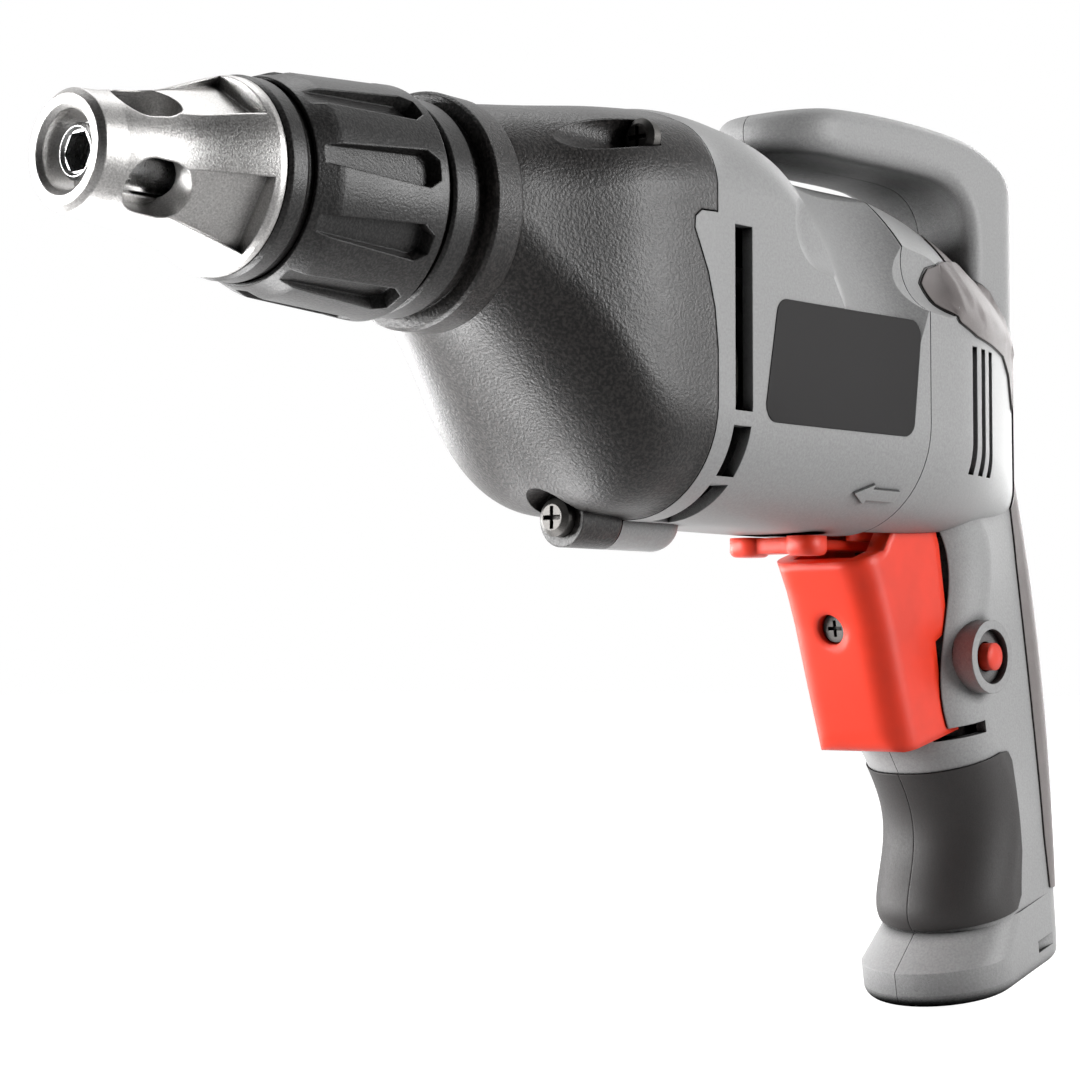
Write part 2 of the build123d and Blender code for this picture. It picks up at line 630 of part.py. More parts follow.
def make_trigger():
    shell = grip_slab(TRIGGER_SIDE, -TRIGGER_W / 2, TRIGGER_W / 2)
    front = [e for e in shell.edges() if abs(e.center().Y) > 13 and e.center().X < 222
        and e.center().Z < -66]
    shell = fillet(front, 6.5)
    low = [e for e in shell.edges() if e.center().Z < -100 and abs(e.center().Y) < 13.0
        and e.center().X < 225]
    shell = fillet(low, 2.6)
    core = grip_slab(TRIGGER_CORE, -TRIGGER_W / 2 + 2.4, TRIGGER_W / 2 - 2.4)
    core_front = [e for e in core.edges() if abs(e.center().Y) > 10.5 and e.center().X < 230
        and e.center().Z < -66]
    shell -= fillet(core_front, 4.0)
    post = along_grip(20.5, -48.5, -43.0, 5.6)
    shell += post & grip_slab(TRIGGER_SIDE, -8, 8)
    shell -= block((200, 260), (-8.4, 8.4), (-62.8, -40))
    return shell - along_grip(20.5, -60.0, -46.4, 3.6) - along_grip(20.5, -60.0, -40.0, 1.7)


def make_reversing_lever():
    arm = block((193.0, LEVER_PIVOT_X), (-4.0, 4.0), (-60.8, -58.7))
    hub = Pos(LEVER_PIVOT_X, 0, -57.6) * Cylinder(5.0, 6.4)
    bar = block((191.6, 197.0), (-8.0, 8.0), (-62.2, -58.7))
    knob = fillet(block((189.8, 198.2), (-12.0, -4.0), (-62.8, -58.5)).edges().filter_by(Axis.Z), 3.2)
    knob = fillet(knob.faces().sort_by(Axis.Z)[0].edges(), 1.4)
    return arm + hub + bar + both_sides(knob) - Pos(LEVER_PIVOT_X, 0, -59) * Cylinder(1.55, 20)


def make_switch_body():
    case = grip_slab(((4.0, -15.0), (4.0, 12.0), (52.0, 12.0), (52.0, -15.0)), -9.5, 9.5)
    case += block((224.0, 262.0), (-5.0, 5.0), (-54.0, -51.2))
    case -= Pos(LEVER_PIVOT_X, 0, -55) * Cylinder(1.55, 20)
    return case - along_grip(20.5, -20.0, 2.0, 3.6)


def housing_screws():
    made = []
    y, z = TOP_SCREW_YZ
    for x0, sy, sz in ((118.0, -y, z), (118.0, y, z), (119.4, 0, LOW_SCREW_Z)):
        screw = rod(x0 + 2.8, x0 + 28.0, SCREW_R - 0.15, sy, sz)
        screw += turned(((x0, 0), (x0, HEAD_R - 1.2), (x0 + 0.9, HEAD_R), (x0 + 2.8, HEAD_R),
            (x0 + 2.8, 0))).moved(
            Location((0, sy, sz)))
        cross = block((x0 - 1, x0 + 1.6), (-2.3, 2.3), (-0.45, 0.45)) + block((x0 - 1, x0 + 1.6),
            (-0.45, 0.45),
                                                                              (-2.3, 2.3))
        made.append(screw - Pos(0, sy, sz) * cross)
    return made


def handle_screws():
    made = []
    for x, z, seat in HANDLE_SCREWS:
        screw = pin_y(x, z, 1.6, -7.6, seat + 0.2) + pin_y(x, z, 3.0, seat + 0.05, seat + 2.2)
        cross = block((x - 1.9, x + 1.9), (seat + 0.9, seat + 4), (z - 0.4, z + 0.4))
        cross += block((x - 0.4, x + 0.4), (seat + 0.9, seat + 4), (z - 1.9, z + 1.9))
        made.append(screw - cross)
    return made


def make_trigger_screw():
    screw = along_grip(20.5, -46.6, -33.0, 1.55) + along_grip(20.5, -48.7, -46.45, 3.2)
    x, z = on_grip(20.5, -48.7)
    cross = Box(2.4, 3.8, 0.8) + Box(2.4, 0.8, 3.8)
    return screw - Pos(x, 0, z) * Rot(0, -LEAN, 0) * cross


def brush_pair(y0, y1, outer, inner):
    x = (COMMUTATOR_X[0] + COMMUTATOR_X[1]) / 2
    shape = block((x - outer[0], x + outer[0]), (y0, y1), (MOTOR_Z - outer[1], MOTOR_Z + outer[1]))
    if inner:
        shape -= block((x - inner[0], x + inner[0]), (y0 - 1, y1 + 1), (MOTOR_Z - inner[1],
            MOTOR_Z + inner[1]))
    return [shape, mirror(shape, Plane.XZ)]


def build():
    gear_outer, gear_hollow = gear_form(0), gear_form(WALL)
    spine, spine_hollow = spine_form(0), spine_form(WALL)
    PARTS["nose_locator"] = make_nose_locator()
    PARTS["locator_carrier"] = make_locator_carrier()
    PARTS["depth_sleeve"] = make_depth_sleeve()
    PARTS["sleeve_stop_ring"] = turned((
        (RING_X[0], NECK_R + 0.02), (RING_X[0], RING_R - 0.6), (RING_X[0] + 0.6, RING_R),
        (RING_X[1] - 0.6, RING_R),
        (RING_X[1], RING_R - 0.6), (RING_X[1], NECK_R + 0.02)))
    PARTS["sleeve_friction_ring"] = tube(68.9, RING_X[0] - 0.02, 19.8, NECK_R + 0.02)
    PARTS["bit_holder"] = make_bit_holder()
    PARTS["bit_retaining_ring"] = make_retaining_ring()
    PARTS["bit_magnet"] = rod(14.1, 17.9, 3.0)
    PARTS["spindle"] = make_spindle()
    PARTS["spindle_bushes"] = [tube(47.2, 63.0, BUSH_R - 0.02, SPINDLE_R + RUN),
                               tube(81.0, 98.0, BUSH_R - 0.02, SPINDLE_R + RUN)]
    PARTS["thrust_washer"] = tube(98.05, FLANGE_X[0] - 0.05, 12.0, SPINDLE_R + 0.3)
    PARTS["clutch_spring"] = coil(FLANGE_X[1] + 0.05, GEAR_X[0] - 0.05, 4.6, 0.55, 5)
    PARTS["drive_gear"] = make_drive_gear()
    PARTS["gear_bearing"] = bearing(129.7, 136.7, 10.98, 4.0, 0)
    PARTS["gear_housing"] = make_gear_housing(gear_outer, gear_hollow)
    PARTS["bearing_plate"] = make_bearing_plate(gear_form(WALL + 0.3))
    PARTS["gear_housing_screws"] = housing_screws()

    PARTS["armature_shaft"] = (
        gear(PINION_TEETH, 90, GEAR_X[0] - 0.6, GEAR_X[1] + 0.6, MOTOR_Z)
        + rod(GEAR_X[1], 204.0, SHAFT_R, z=MOTOR_Z) + rod(203.5, 211.0, 3.5, z=MOTOR_Z)
        + rod(157.9, 188.1, 4.98, z=MOTOR_Z))
    PARTS["rotor_core"] = make_rotor_core()
    PARTS["rotor_windings"] = [
        turned(((x0, 5.2), (x0, 11.0), (x1, 13.4), (x1, 5.2)), MOTOR_Z)
        for x0, x1 in ((152.6, 157.95), (193.4, 188.05))]
    PARTS["commutator"] = turned((
        (193.6, SHAFT_R + 0.02), (193.6, 11.2), (195.0, 11.2), (195.0, COMMUTATOR_R), (203.0, COMMUTATOR_R),
        (203.0, SHAFT_R + 0.02)), MOTOR_Z)
    PARTS["cooling_fan"] = make_fan()
    PARTS["front_motor_bearing"] = bearing(130.9, 137.9, 10.98, 4.02, MOTOR_Z)
    PARTS["rear_motor_bearing"] = bearing(204.9, 210.9, 9.48, 3.52, MOTOR_Z)
    PARTS["fan_baffle"] = tube(150.2, 151.8, BORE_R - 0.1, 21.0, z=MOTOR_Z)
    PARTS["stator_core"] = make_stator()
    PARTS["field_coils"] = make_field_coils()
    PARTS["brush_holders"] = brush_pair(11.6, 26.0, (4.4, 3.6), (3.4, 2.6))
    PARTS["carbon_brushes"] = brush_pair(COMMUTATOR_R + 0.1, 20.0, (3.3, 2.5), None)
    PARTS["motor_housing"] = make_motor_housing(spine, spine_hollow, gear_outer, gear_hollow)
    PARTS["nameplate_left"] = make_nameplate()

    arm = make_arm()
    upper, grip, foot = upper_form(0), grip_form(0), foot_form(0)
    outer = upper + grip + foot
    inside_x = block((HANDLE_X - 2, 273.8), (-60, 60), (-200, 60))
    hollow = (upper_form(WALL) & inside_x) + grip_form(WALL) + (foot_form(WALL) - grip_slab(
        ((108.8, -60), (130, -60), (130, 60), (108.8, 60)), -40, 40))
    skin_in = upper_form(RUBBER) + grip_form(RUBBER)
    skin_out = upper_form(-PROUD) + grip_form(-PROUD)
    skin = skin_out - skin_in
    rear_zone, front_zone = slab(REAR_GRIP, -60, 60), slab(FRONT_GRIP, -60, 60)
    rear_grip = (skin & rear_zone) - arm
    front_grip = skin & front_zone
    handle = make_handle(outer + arm, hollow, rear_grip + front_grip)
    for side, word in ((-1, "left"), (1, "right")):
        PARTS["handle_" + word] = half(handle, side)
        PARTS["rear_grip_" + word] = half(rear_grip, side)
        PARTS["front_grip_" + word] = half(front_grip, side)
    PARTS["handle_screws"] = handle_screws()
    PARTS["trigger"] = make_trigger()
    PARTS["trigger_screw"] = make_trigger_screw()
    PARTS["switch_plunger"] = along_grip(20.5, -42.9, -8.0, 3.5) - along_grip(20.5, -43.5, -32.5, 1.6)
    PARTS["switch_body"] = make_switch_body()
    PARTS["reversing_lever"] = make_reversing_lever()
    PARTS["reversing_pivot"] = Pos(LEVER_PIVOT_X, 0, -56.4) * Cylinder(1.5, 10.4)
    PARTS["lock_button"] = pin_y(*LOCK_XZ, 3.2, -21.2, -13.0) + pin_y(*LOCK_XZ, 4.6, -13.3, -12.7)
    PARTS["cord_inlet_bush"] = down_grip(101.0, 111.8, INLET_U, 8.0) - down_grip(100, 113, INLET_U,
        CORD_BORE_R)


def solids_of(shape):
    items = shape if isinstance(shape, list) else [shape]
    found = []
    for item in items:
        found += list(item.solids())
    return found


def export():
    os.makedirs("parts", exist_ok=True)
    for name, shape in PARTS.items():
        solids = solids_of(shape)
        whole = solids[0] if len(solids) == 1 else Compound(children=solids)
        whole.label = name
        export_step(whole, "parts/" + name + ".step")
        box = whole.bounding_box()
        print(name, len(solids), whole.is_valid, [round(v, 1) for v in (*box.min, *box.max)])


build()
export()
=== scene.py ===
import math

import bmesh
import bpy
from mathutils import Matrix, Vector
from mathutils.bvhtree import BVHTree


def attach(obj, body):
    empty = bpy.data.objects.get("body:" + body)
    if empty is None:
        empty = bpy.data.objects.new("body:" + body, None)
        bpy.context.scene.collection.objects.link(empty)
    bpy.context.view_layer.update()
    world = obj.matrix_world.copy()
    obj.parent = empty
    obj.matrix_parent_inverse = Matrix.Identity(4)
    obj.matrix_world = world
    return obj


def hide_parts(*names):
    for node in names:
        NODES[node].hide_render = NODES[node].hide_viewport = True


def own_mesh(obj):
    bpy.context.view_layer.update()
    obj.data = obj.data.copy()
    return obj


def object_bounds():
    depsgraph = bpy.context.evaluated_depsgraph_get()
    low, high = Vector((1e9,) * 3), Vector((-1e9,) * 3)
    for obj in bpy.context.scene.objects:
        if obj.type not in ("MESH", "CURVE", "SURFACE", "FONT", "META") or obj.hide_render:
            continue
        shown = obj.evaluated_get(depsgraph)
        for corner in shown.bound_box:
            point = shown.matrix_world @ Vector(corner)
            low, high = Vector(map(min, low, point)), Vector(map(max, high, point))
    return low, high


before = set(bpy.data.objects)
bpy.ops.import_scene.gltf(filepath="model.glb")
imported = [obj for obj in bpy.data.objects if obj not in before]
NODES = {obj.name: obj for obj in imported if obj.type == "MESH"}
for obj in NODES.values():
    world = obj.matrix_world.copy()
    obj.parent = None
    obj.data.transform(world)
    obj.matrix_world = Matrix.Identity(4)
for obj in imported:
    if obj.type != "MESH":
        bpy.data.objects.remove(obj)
CAD_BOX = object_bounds()
MM = 0.001

# Camera of the photograph, in the frame of the part
CAMERA_AT = Vector((-266.9, -355.4, -87.6)) * MM
CAMERA_FORWARD = Vector((0.7320, 0.6795, 0.0491))
CAMERA_LENS = 86.67
CAMERA_CLIP = (0.01, 50.0)
SENSOR = 36.0

# Studio: ambient level, the dim room behind the camera, and where it turns into the white backdrop
AMBIENT = 0.13
ROOM_DIM = 0.03
ROOM_EDGE = (-0.15, 0.55)
FLOOR_HALF = 6.0
FLOOR_GAP = 0.4 * MM
FLOOR_SHADES = ((0.36, 0.36, 0.36), (0.40, 0.40, 0.40))
FLOOR_ROUGH = 0.9
FLOOR_MOTTLE = 60.0
FLOOR_LIFT = 0.96
FLOOR_EDGE = (-0.10, 0.35)
WHITE = (1.0, 1.0, 1.0, 1.0)

# Lamps: place and aim in m, size in m, power in W, and the angle that the light leaves in
MIDDLE = (0.13, 0.0, -0.04)
OPEN_SPREAD = 3.14
LOW_BOX_Z = CAD_BOX[0].z + 4 * MM
LAMPS = {
    "right_box": ((0.72, -1.05, 0.26), MIDDLE, (0.40, 0.7), 13.0, OPEN_SPREAD),
    "left_box": ((-0.57, 0.58, 0.02), (0.06, 0.0, 0.0), (0.34, 0.30), 9.0, OPEN_SPREAD),
    "top_box": ((0.30, 0.30, 0.95), MIDDLE, (0.7, 0.3), 3.0, OPEN_SPREAD),
    "rear_box": ((1.15, 0.20, 0.20), MIDDLE, (0.35, 0.7), 6.0, OPEN_SPREAD),
    "kick_box": ((0.02, 0.50, -0.09), (0.10, 0.0, -0.06), (0.6, 0.14), 3.6, OPEN_SPREAD),
    "low_box": ((0.08, 0.06, LOW_BOX_Z), (0.09, 0.03, 0.1), (0.16, 0.16), 0.35, 1.3),
}

# Colours, linear
STEEL = (0.56, 0.55, 0.54)
BRIGHT_STEEL = (0.66, 0.65, 0.63)
TURNED_STEEL = (0.50, 0.50, 0.50)
DARK_STEEL = (0.09, 0.085, 0.08)
SCREW_STEEL = (0.10, 0.096, 0.092)
CAST_ALLOY = (0.42, 0.43, 0.44)
BRONZE = (0.42, 0.25, 0.11)
COPPER = (0.58, 0.23, 0.10)
LAMINATION = (0.28, 0.28, 0.29)
MAGNET = (0.20, 0.20, 0.21)
CARBON = (0.020, 0.020, 0.021)
NYLON = (0.55, 0.53, 0.46)
BLACK_PLASTIC = (0.010, 0.0094, 0.0092)
GEAR_PLASTIC = (0.013, 0.0115, 0.011)
GREY_PLASTIC = (0.325, 0.325, 0.326)
RUBBER = (0.022, 0.019, 0.0185)
# Painted light: the same rubber as RUBBER, painted much lighter for the rear grips and the thumb pad
PAINTED_LIT_RUBBER = (0.165, 0.146, 0.143)
RED_PLASTIC = (0.86, 0.035, 0.006)
PLATE_BLACK = (0.0075, 0.0062, 0.0066)

# Painted shade: how open a place is, from 0 to 1, where the shade painted into a seam or a deep hollow
# starts and stops
SEAM_SHADE_SPAN = (0.45, 0.93)
HOLLOW_SHADE_SPAN = (0.26, 0.66)
HOLLOW_SHADE_LEAST = 0.02
RAYS = 6

# Forms laid on the housing, in mm along X and Z: the raised turning arrow, the full plate and the thumb pad
ASIDE = -90.0
INWARD = Vector((0.0, 1.0, 0.0))
SHARP_EDGE = math.radians(40)
ARROW_AT = (195.0, -50.0)
ARROW = ((-8.0, 0.0), (-2.6, 2.7), (-2.6, 1.5), (7.5, 1.5))
ARROW_CLEAR = 8.0
ARROW_RISE = 0.6
ARROW_ROOT = 0.2
PLATE_CORNERS = ((149.0, -37.6), (154.0, -12.0), (204.2, -12.0), (200.8, -37.6))
PLATE_ROUND = 3.4
PLATE_RISE = 0.03
PLATE_DEEP = 3.4
PLATE_LEVEL = -31.0
PLATE_ENDS = (153.0, 198.0)
FLANK_LOW = -34.0
FLANK_ROUND = 23.5
PAD = ((214.8, -1.8), (216.4, -6.6), (221.0, -10.4), (230.0, -12.6), (242.0, -13.6), (252.4, -14.6),
       (259.4, -18.4), (264.4, -26.0), (266.2, -14.0), (263.0, -5.0), (256.0, 1.5), (247.0, 5.6),
       (234.8, 5.6), (224.0, 4.0), (218.0, 2.0))
PAD_MIDDLE = (238.0, -5.0)
# Painted shade: the pad is laid over a black copy grown by PAD_LINE, which shows round it as the shade in
# the seam
PAD_LINE = 1.03
PAD_LINE_RISE = 0.12
PAD_RISE = 0.5
PAD_ROOT = 0.5


class Shader:
    """A node material that is built step by step round one Principled shader."""

    def __init__(self, name):
        self.material = bpy.data.materials.new(name)
        self.material.use_nodes = True
        self.tree = self.material.node_tree
        self.bsdf = self.tree.nodes["Principled BSDF"]
        self.place = self.node("ShaderNodeTexCoord").outputs["Object"]
        self.normal = None
        self.base = None

    def node(self, kind, **settings):
        made = self.tree.nodes.new(kind)
        for key, value in settings.items():
            setattr(made, key, value)
        return made

    def link(self, source, target):
        self.tree.links.new(source, target)

    def noise(self, size_mm, detail=2.0, roughness=0.5, stretch=None):
        texture = self.node("ShaderNodeTexNoise")
        texture.inputs["Scale"].default_value = 1.0 / (size_mm * MM)
        texture.inputs["Detail"].default_value = detail
        texture.inputs["Roughness"].default_value = roughness
        place = self.place
        if stretch:
            mapping = self.node("ShaderNodeMapping")
            mapping.inputs["Scale"].default_value = stretch
            self.link(self.place, mapping.inputs["Vector"])
            place = mapping.outputs["Vector"]
        self.link(place, texture.inputs["Vector"])
        return texture.outputs["Fac"]

    def spread(self, value, low, high, at=(0.3, 0.7)):
        span = self.node("ShaderNodeMapRange")
        span.inputs["From Min"].default_value = at[0]
        span.inputs["From Max"].default_value = at[1]
        span.inputs["To Min"].default_value = low
        span.inputs["To Max"].default_value = high
        self.link(value, span.inputs["Value"])
        return span.outputs["Result"]

    def colour(self, value, dark, light, at=(0.3, 0.7)):
        ramp = self.node("ShaderNodeValToRGB")
        ramp.color_ramp.elements[0].position = at[0]
        ramp.color_ramp.elements[0].color = (*dark, 1.0)
        ramp.color_ramp.elements[1].position = at[1]
        ramp.color_ramp.elements[1].color = (*light, 1.0)
        self.link(value, ramp.inputs["Fac"])
        self.base = ramp.outputs["Color"]

    def paint_hollow_shade(self, reach_mm, least=0.05, at=(0.30, 0.80), gloss=0.5):
        """Paints shade into slots, seams and tight corners: an ambient occlusion node darkens the colour
        and dims the shine where the surface is closed in.
        """
        shadow = self.node("ShaderNodeAmbientOcclusion", samples=RAYS)
        shadow.inputs["Distance"].default_value = reach_mm * MM
        open_part = self.spread(shadow.outputs["AO"], least, 1.0, at)
        scale = self.node("ShaderNodeVectorMath", operation="SCALE")
        self.link(self.base, scale.inputs["Vector"])
        self.link(open_part, scale.inputs["Scale"])
        self.base = scale.outputs["Vector"]
        shine = self.spread(shadow.outputs["AO"], 0.0, gloss, at)
        self.link(shine, self.bsdf.inputs["Specular IOR Level"])

    def roughness(self, value, low, high):
        self.link(self.spread(value, low, high), self.bsdf.inputs["Roughness"])

    def soft_edges(self, radius_mm):
        bevel = self.node("ShaderNodeBevel", samples=RAYS)
        bevel.inputs["Radius"].default_value = radius_mm * MM
        self.normal = bevel.outputs["Normal"]

    def bump(self, height, depth_mm):
        bump = self.node("ShaderNodeBump")
        bump.inputs["Strength"].default_value = 1.0
        bump.inputs["Distance"].default_value = depth_mm * MM
        self.link(height, bump.inputs["Height"])
        if self.normal:
            self.link(self.normal, bump.inputs["Normal"])
        self.normal = bump.outputs["Normal"]

    def done(self):
        if self.base:
            self.link(self.base, self.bsdf.inputs["Base Color"])
        if self.normal:
            self.link(self.normal, self.bsdf.inputs["Normal"])
        return self.material


def shade(colour, factor):
    return tuple(c * factor for c in colour)


def moulded_plastic(name, colour, grain_mm, depth_mm, rough, contrast=0.14, hollow_shade_mm=0.0, gloss=0.5):
    """Moulded plastic: sparked mould grain, painted shade in seams and hollows, and softened edges."""
    s = Shader(name)
    fine = s.noise(grain_mm, detail=3.0, roughness=0.6)
    s.colour(fine, shade(colour, 1 - contrast), shade(colour, 1 + contrast))
    # Painted shade: seams and slots fall dark, and large hollows too when a reach is given
    s.paint_hollow_shade(3.0, at=SEAM_SHADE_SPAN, gloss=gloss)
    if hollow_shade_mm:
        s.paint_hollow_shade(hollow_shade_mm, least=HOLLOW_SHADE_LEAST, at=HOLLOW_SHADE_SPAN, gloss=gloss)
    s.roughness(fine, *rough)
    s.soft_edges(0.35)
    s.bump(fine, depth_mm)
    return s.done()


def metal(name, colour, grain_mm, depth_mm, rough, stretch=None, edge_mm=0.2):
    """Metal: fine blasted or turned grain, with a mottled tone."""
    s = Shader(name)
    s.bsdf.inputs["Metallic"].default_value = 1.0
    fine = s.noise(grain_mm, detail=3.0, roughness=0.65, stretch=stretch)
    s.colour(fine, shade(colour, 0.70), shade(colour, 1.2))
    # Painted shade in the slots and seams of the metal
    s.paint_hollow_shade(2.5, least=0.12)
    s.roughness(fine, *rough)
    s.soft_edges(edge_mm)
    s.bump(fine, depth_mm)
    return s.done()


def black_plastic(name, colour, grain_mm, depth_mm, rough):
    """Black plastic with a coarse leather grain, with painted highlight on the tops of the grain and
    painted shade between them.
    """
    s = Shader(name)
    slow = s.noise(18.0, detail=3.0)
    pebble = s.noise(grain_mm, detail=2.0, roughness=0.55)
    # Painted highlight and shade: the colour runs from dark in the grain's low places to light on its tops,
    # following the same noise as the bump
    s.colour(pebble, shade(colour, 0.45), shade(colour, 2.8), at=(0.42, 0.64))
    # Painted shade in slots and seams
    s.paint_hollow_shade(3.0)
    s.roughness(slow, *rough)
    s.soft_edges(0.5)
    s.bump(pebble, depth_mm)
    return s.done()


def soft_rubber(name, colour):
    """Soft rubber: matt, with a faint cloudy tone."""
    s = Shader(name)
    slow = s.noise(7.0, detail=3.0)
    fine = s.noise(0.4, detail=3.0, roughness=0.6)
    s.colour(slow, shade(colour, 0.92), shade(colour, 1.10))
    # Painted shade in slots and seams
    s.paint_hollow_shade(1.5)
    s.roughness(fine, 0.52, 0.66)
    s.soft_edges(0.5)
    s.bump(fine, 0.025)
    return s.done()


def red_plastic():
    """Red plastic: smoother than the rest, with wide round edges."""
    s = Shader("red_plastic")
    slow = s.noise(9.0, detail=2.0)
    fine = s.noise(0.5, detail=2.0)
    s.colour(slow, shade(RED_PLASTIC, 0.93), shade(RED_PLASTIC, 1.05))
    # Painted shade in slots and seams, kept lighter than on the other plastics
    s.paint_hollow_shade(2.5, least=0.25)
    s.roughness(fine, 0.34, 0.42)
    s.soft_edges(3.5)
    s.bump(fine, 0.012)
    return s.done()


MATERIALS = {
    "satin_steel": metal("blasted_steel", STEEL, 0.36, 0.05, (0.30, 0.46), edge_mm=0.5),
    "bright_steel": metal("bright_steel", BRIGHT_STEEL, 0.25, 0.01, (0.18, 0.30)),
    "screw_steel": metal("screw_steel", SCREW_STEEL, 0.3, 0.02, (0.42, 0.58)),
    "machined_steel": metal("turned_steel", TURNED_STEEL, 0.5, 0.012, (0.22, 0.36), stretch=(6, 1, 1)),
    "dark_steel": metal("blackened_steel", DARK_STEEL, 0.3, 0.012, (0.26, 0.40)),
    "cast_alloy": metal("cast_alloy", CAST_ALLOY, 0.9, 0.06, (0.42, 0.58)),
    "bronze": metal("sintered_bronze", BRONZE, 0.35, 0.02, (0.34, 0.48)),
    "copper": metal("copper", COPPER, 0.45, 0.03, (0.26, 0.40), stretch=(1, 5, 5)),
    "lamination": metal("lamination_steel", LAMINATION, 0.6, 0.03, (0.40, 0.55), stretch=(8, 1, 1)),
    "magnet": metal("magnet", MAGNET, 0.4, 0.01, (0.28, 0.40)),
    "carbon": moulded_plastic("carbon", CARBON, 0.3, 0.02, (0.55, 0.70)),
    "nylon_white": moulded_plastic("natural_nylon", NYLON, 0.5, 0.01, (0.36, 0.48)),
    "black_plastic": black_plastic("black_plastic", BLACK_PLASTIC, 0.5, 0.07, (0.34, 0.44)),
    "gear_plastic": black_plastic("black_leather_grain", GEAR_PLASTIC, 0.62, 0.12, (0.36, 0.44)),
    # The grey plastic also gets painted shade reaching 26 mm into large hollows
    "grey_plastic": moulded_plastic("grey_plastic", GREY_PLASTIC, 0.55, 0.06, (0.44, 0.58), contrast=0.13,
                                    hollow_shade_mm=26.0),
    "grip_rubber": soft_rubber("soft_rubber", RUBBER),
    "painted_lit_rubber": soft_rubber("painted_lit_rubber", PAINTED_LIT_RUBBER),
    "red_plastic": red_plastic(),
    "label_black": moulded_plastic("plate_black", PLATE_BLACK, 0.3, 0.006, (0.40, 0.50), contrast=0.1,
                                   gloss=0.2),
}
SPECIAL = {
    "gear_housing": "gear_plastic",
    "trigger_screw": "screw_steel",
    "gear_housing_screws": "screw_steel",
    # The rear grips get the copy of the grip rubber that is painted lighter as painted light
    "rear_grip_left": "painted_lit_rubber",
    "rear_grip_right": "painted_lit_rubber",
}


def dress_nodes():
    """Gives each solid the finish of its slot in the record, or its own."""
    for node in NODES.values():
        slot = node.data.materials[0].name.split(".")[0]
        node.data.materials.clear()
        node.data.materials.append(MATERIALS[SPECIAL.get(node.name, slot)])


def skin_of(*names):
    """The outer faces of the named solids, for rays."""
    points, faces = [], []
    for name in names:
        mesh, first = NODES[name].data, len(points)
        points += [v.co.copy() for v in mesh.vertices]
        faces += [[first + i for i in p.vertices] for p in mesh.polygons]
    return BVHTree.FromPolygons(points, faces)


def rounded(corners, radius, steps=6):
    """The outline with an arc of the given radius in each corner."""
    outline = []
    for i, corner in enumerate(corners):
        here = Vector(corner)
        back = (Vector(corners[i - 1]) - here).normalized()
        ahead = (Vector(corners[(i + 1) % len(corners)]) - here).normalized()
        half = back.angle(ahead) / 2
        reach = radius / math.tan(half)
        start, end = here + back * reach, here + ahead * reach
        centre = here + (back + ahead).normalized() * radius / math.sin(half)
        for k in range(steps + 1):
            spoke = (start - centre).lerp(end - centre, k / steps).normalized() * radius
            outline.append(tuple(centre + spoke))
    return outline


def from_left(skin, x, z):
    """Where a ray from the tool's left side meets the skin, and the skin's normal there."""
    return skin.ray_cast(Vector((x, ASIDE, z)) * MM, INWARD)[:2]


def add_piece(name, mesh, replaced=None):
    """Sets a new piece of the scene on the housing."""
    piece = bpy.data.objects.new(name, mesh)
    bpy.context.scene.collection.objects.link(piece)
    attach(piece, "housing")
    if replaced:
        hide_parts(replaced)
    return piece


def laid_piece(name, outline, place, material, replaced=None, cuts=5):
    """A flat outline, filled and thickened, whose points are placed one by one on the housing."""
    shape = bmesh.new()
    face = shape.faces.new([shape.verts.new((x, z, 0.0)) for x, z in outline])
    bmesh.ops.triangulate(shape, faces=[face])
    bmesh.ops.subdivide_edges(shape, edges=shape.edges[:], cuts=cuts, use_grid_fill=True)
    top = bmesh.ops.extrude_face_region(shape, geom=shape.faces[:])["geom"]
    raised = {v for v in top if isinstance(v, bmesh.types.BMVert)}
    for v in shape.verts:
        v.co = place(v.co.x, v.co.y, v in raised)
    bmesh.ops.recalc_face_normals(shape, faces=shape.faces[:])
    mesh = bpy.data.meshes.new(name)
    shape.to_mesh(mesh)
    shape.free()
    mesh.polygons.foreach_set("use_smooth", [True] * len(mesh.polygons))
    mesh.set_sharp_from_angle(angle=SHARP_EDGE)
    mesh.materials.append(MATERIALS[material])
    add_piece(name, mesh, replaced)


def direction_arrow():
    """The raised arrow under the plate, along the curve of the motor housing."""
    skin = skin_of("motor_housing")
    middle, normal = from_left(skin, *ARROW_AT)
    along = (Vector((1.0, 0.0, 0.0)) - normal * normal.x).normalized()
    across = along.cross(normal)
    outline = list(ARROW) + [(x, -z) for x, z in reversed(ARROW[1:])]

    def place(x, z, raised):
        over = middle + (along * x - across * z) * MM + normal * ARROW_CLEAR * MM
        hit, lean, _, _ = skin.ray_cast(over, -normal)
        return hit + lean * (ARROW_RISE if raised else -ARROW_ROOT) * MM

    laid_piece("direction_arrow", outline, place, "grey_plastic")


def full_plate():
    """The bare plate with round corners, seated in the upright flank."""
    skin = skin_of("nameplate_left")

    def place(x, z, raised):
        level = min(max(x, PLATE_ENDS[0]), PLATE_ENDS[1])
        hit, _ = from_left(skin, level, PLATE_LEVEL)
        below = max(FLANK_LOW - z, 0.0)
        drop = FLANK_ROUND - math.sqrt(FLANK_ROUND ** 2 - below ** 2)
        y = hit.y + (drop - PLATE_RISE if raised else PLATE_DEEP) * MM
        return Vector((x * MM, y, z * MM))

    laid_piece("name_plate", rounded(PLATE_CORNERS, PLATE_ROUND), place, "label_black",
               replaced="nameplate_left", cuts=3)


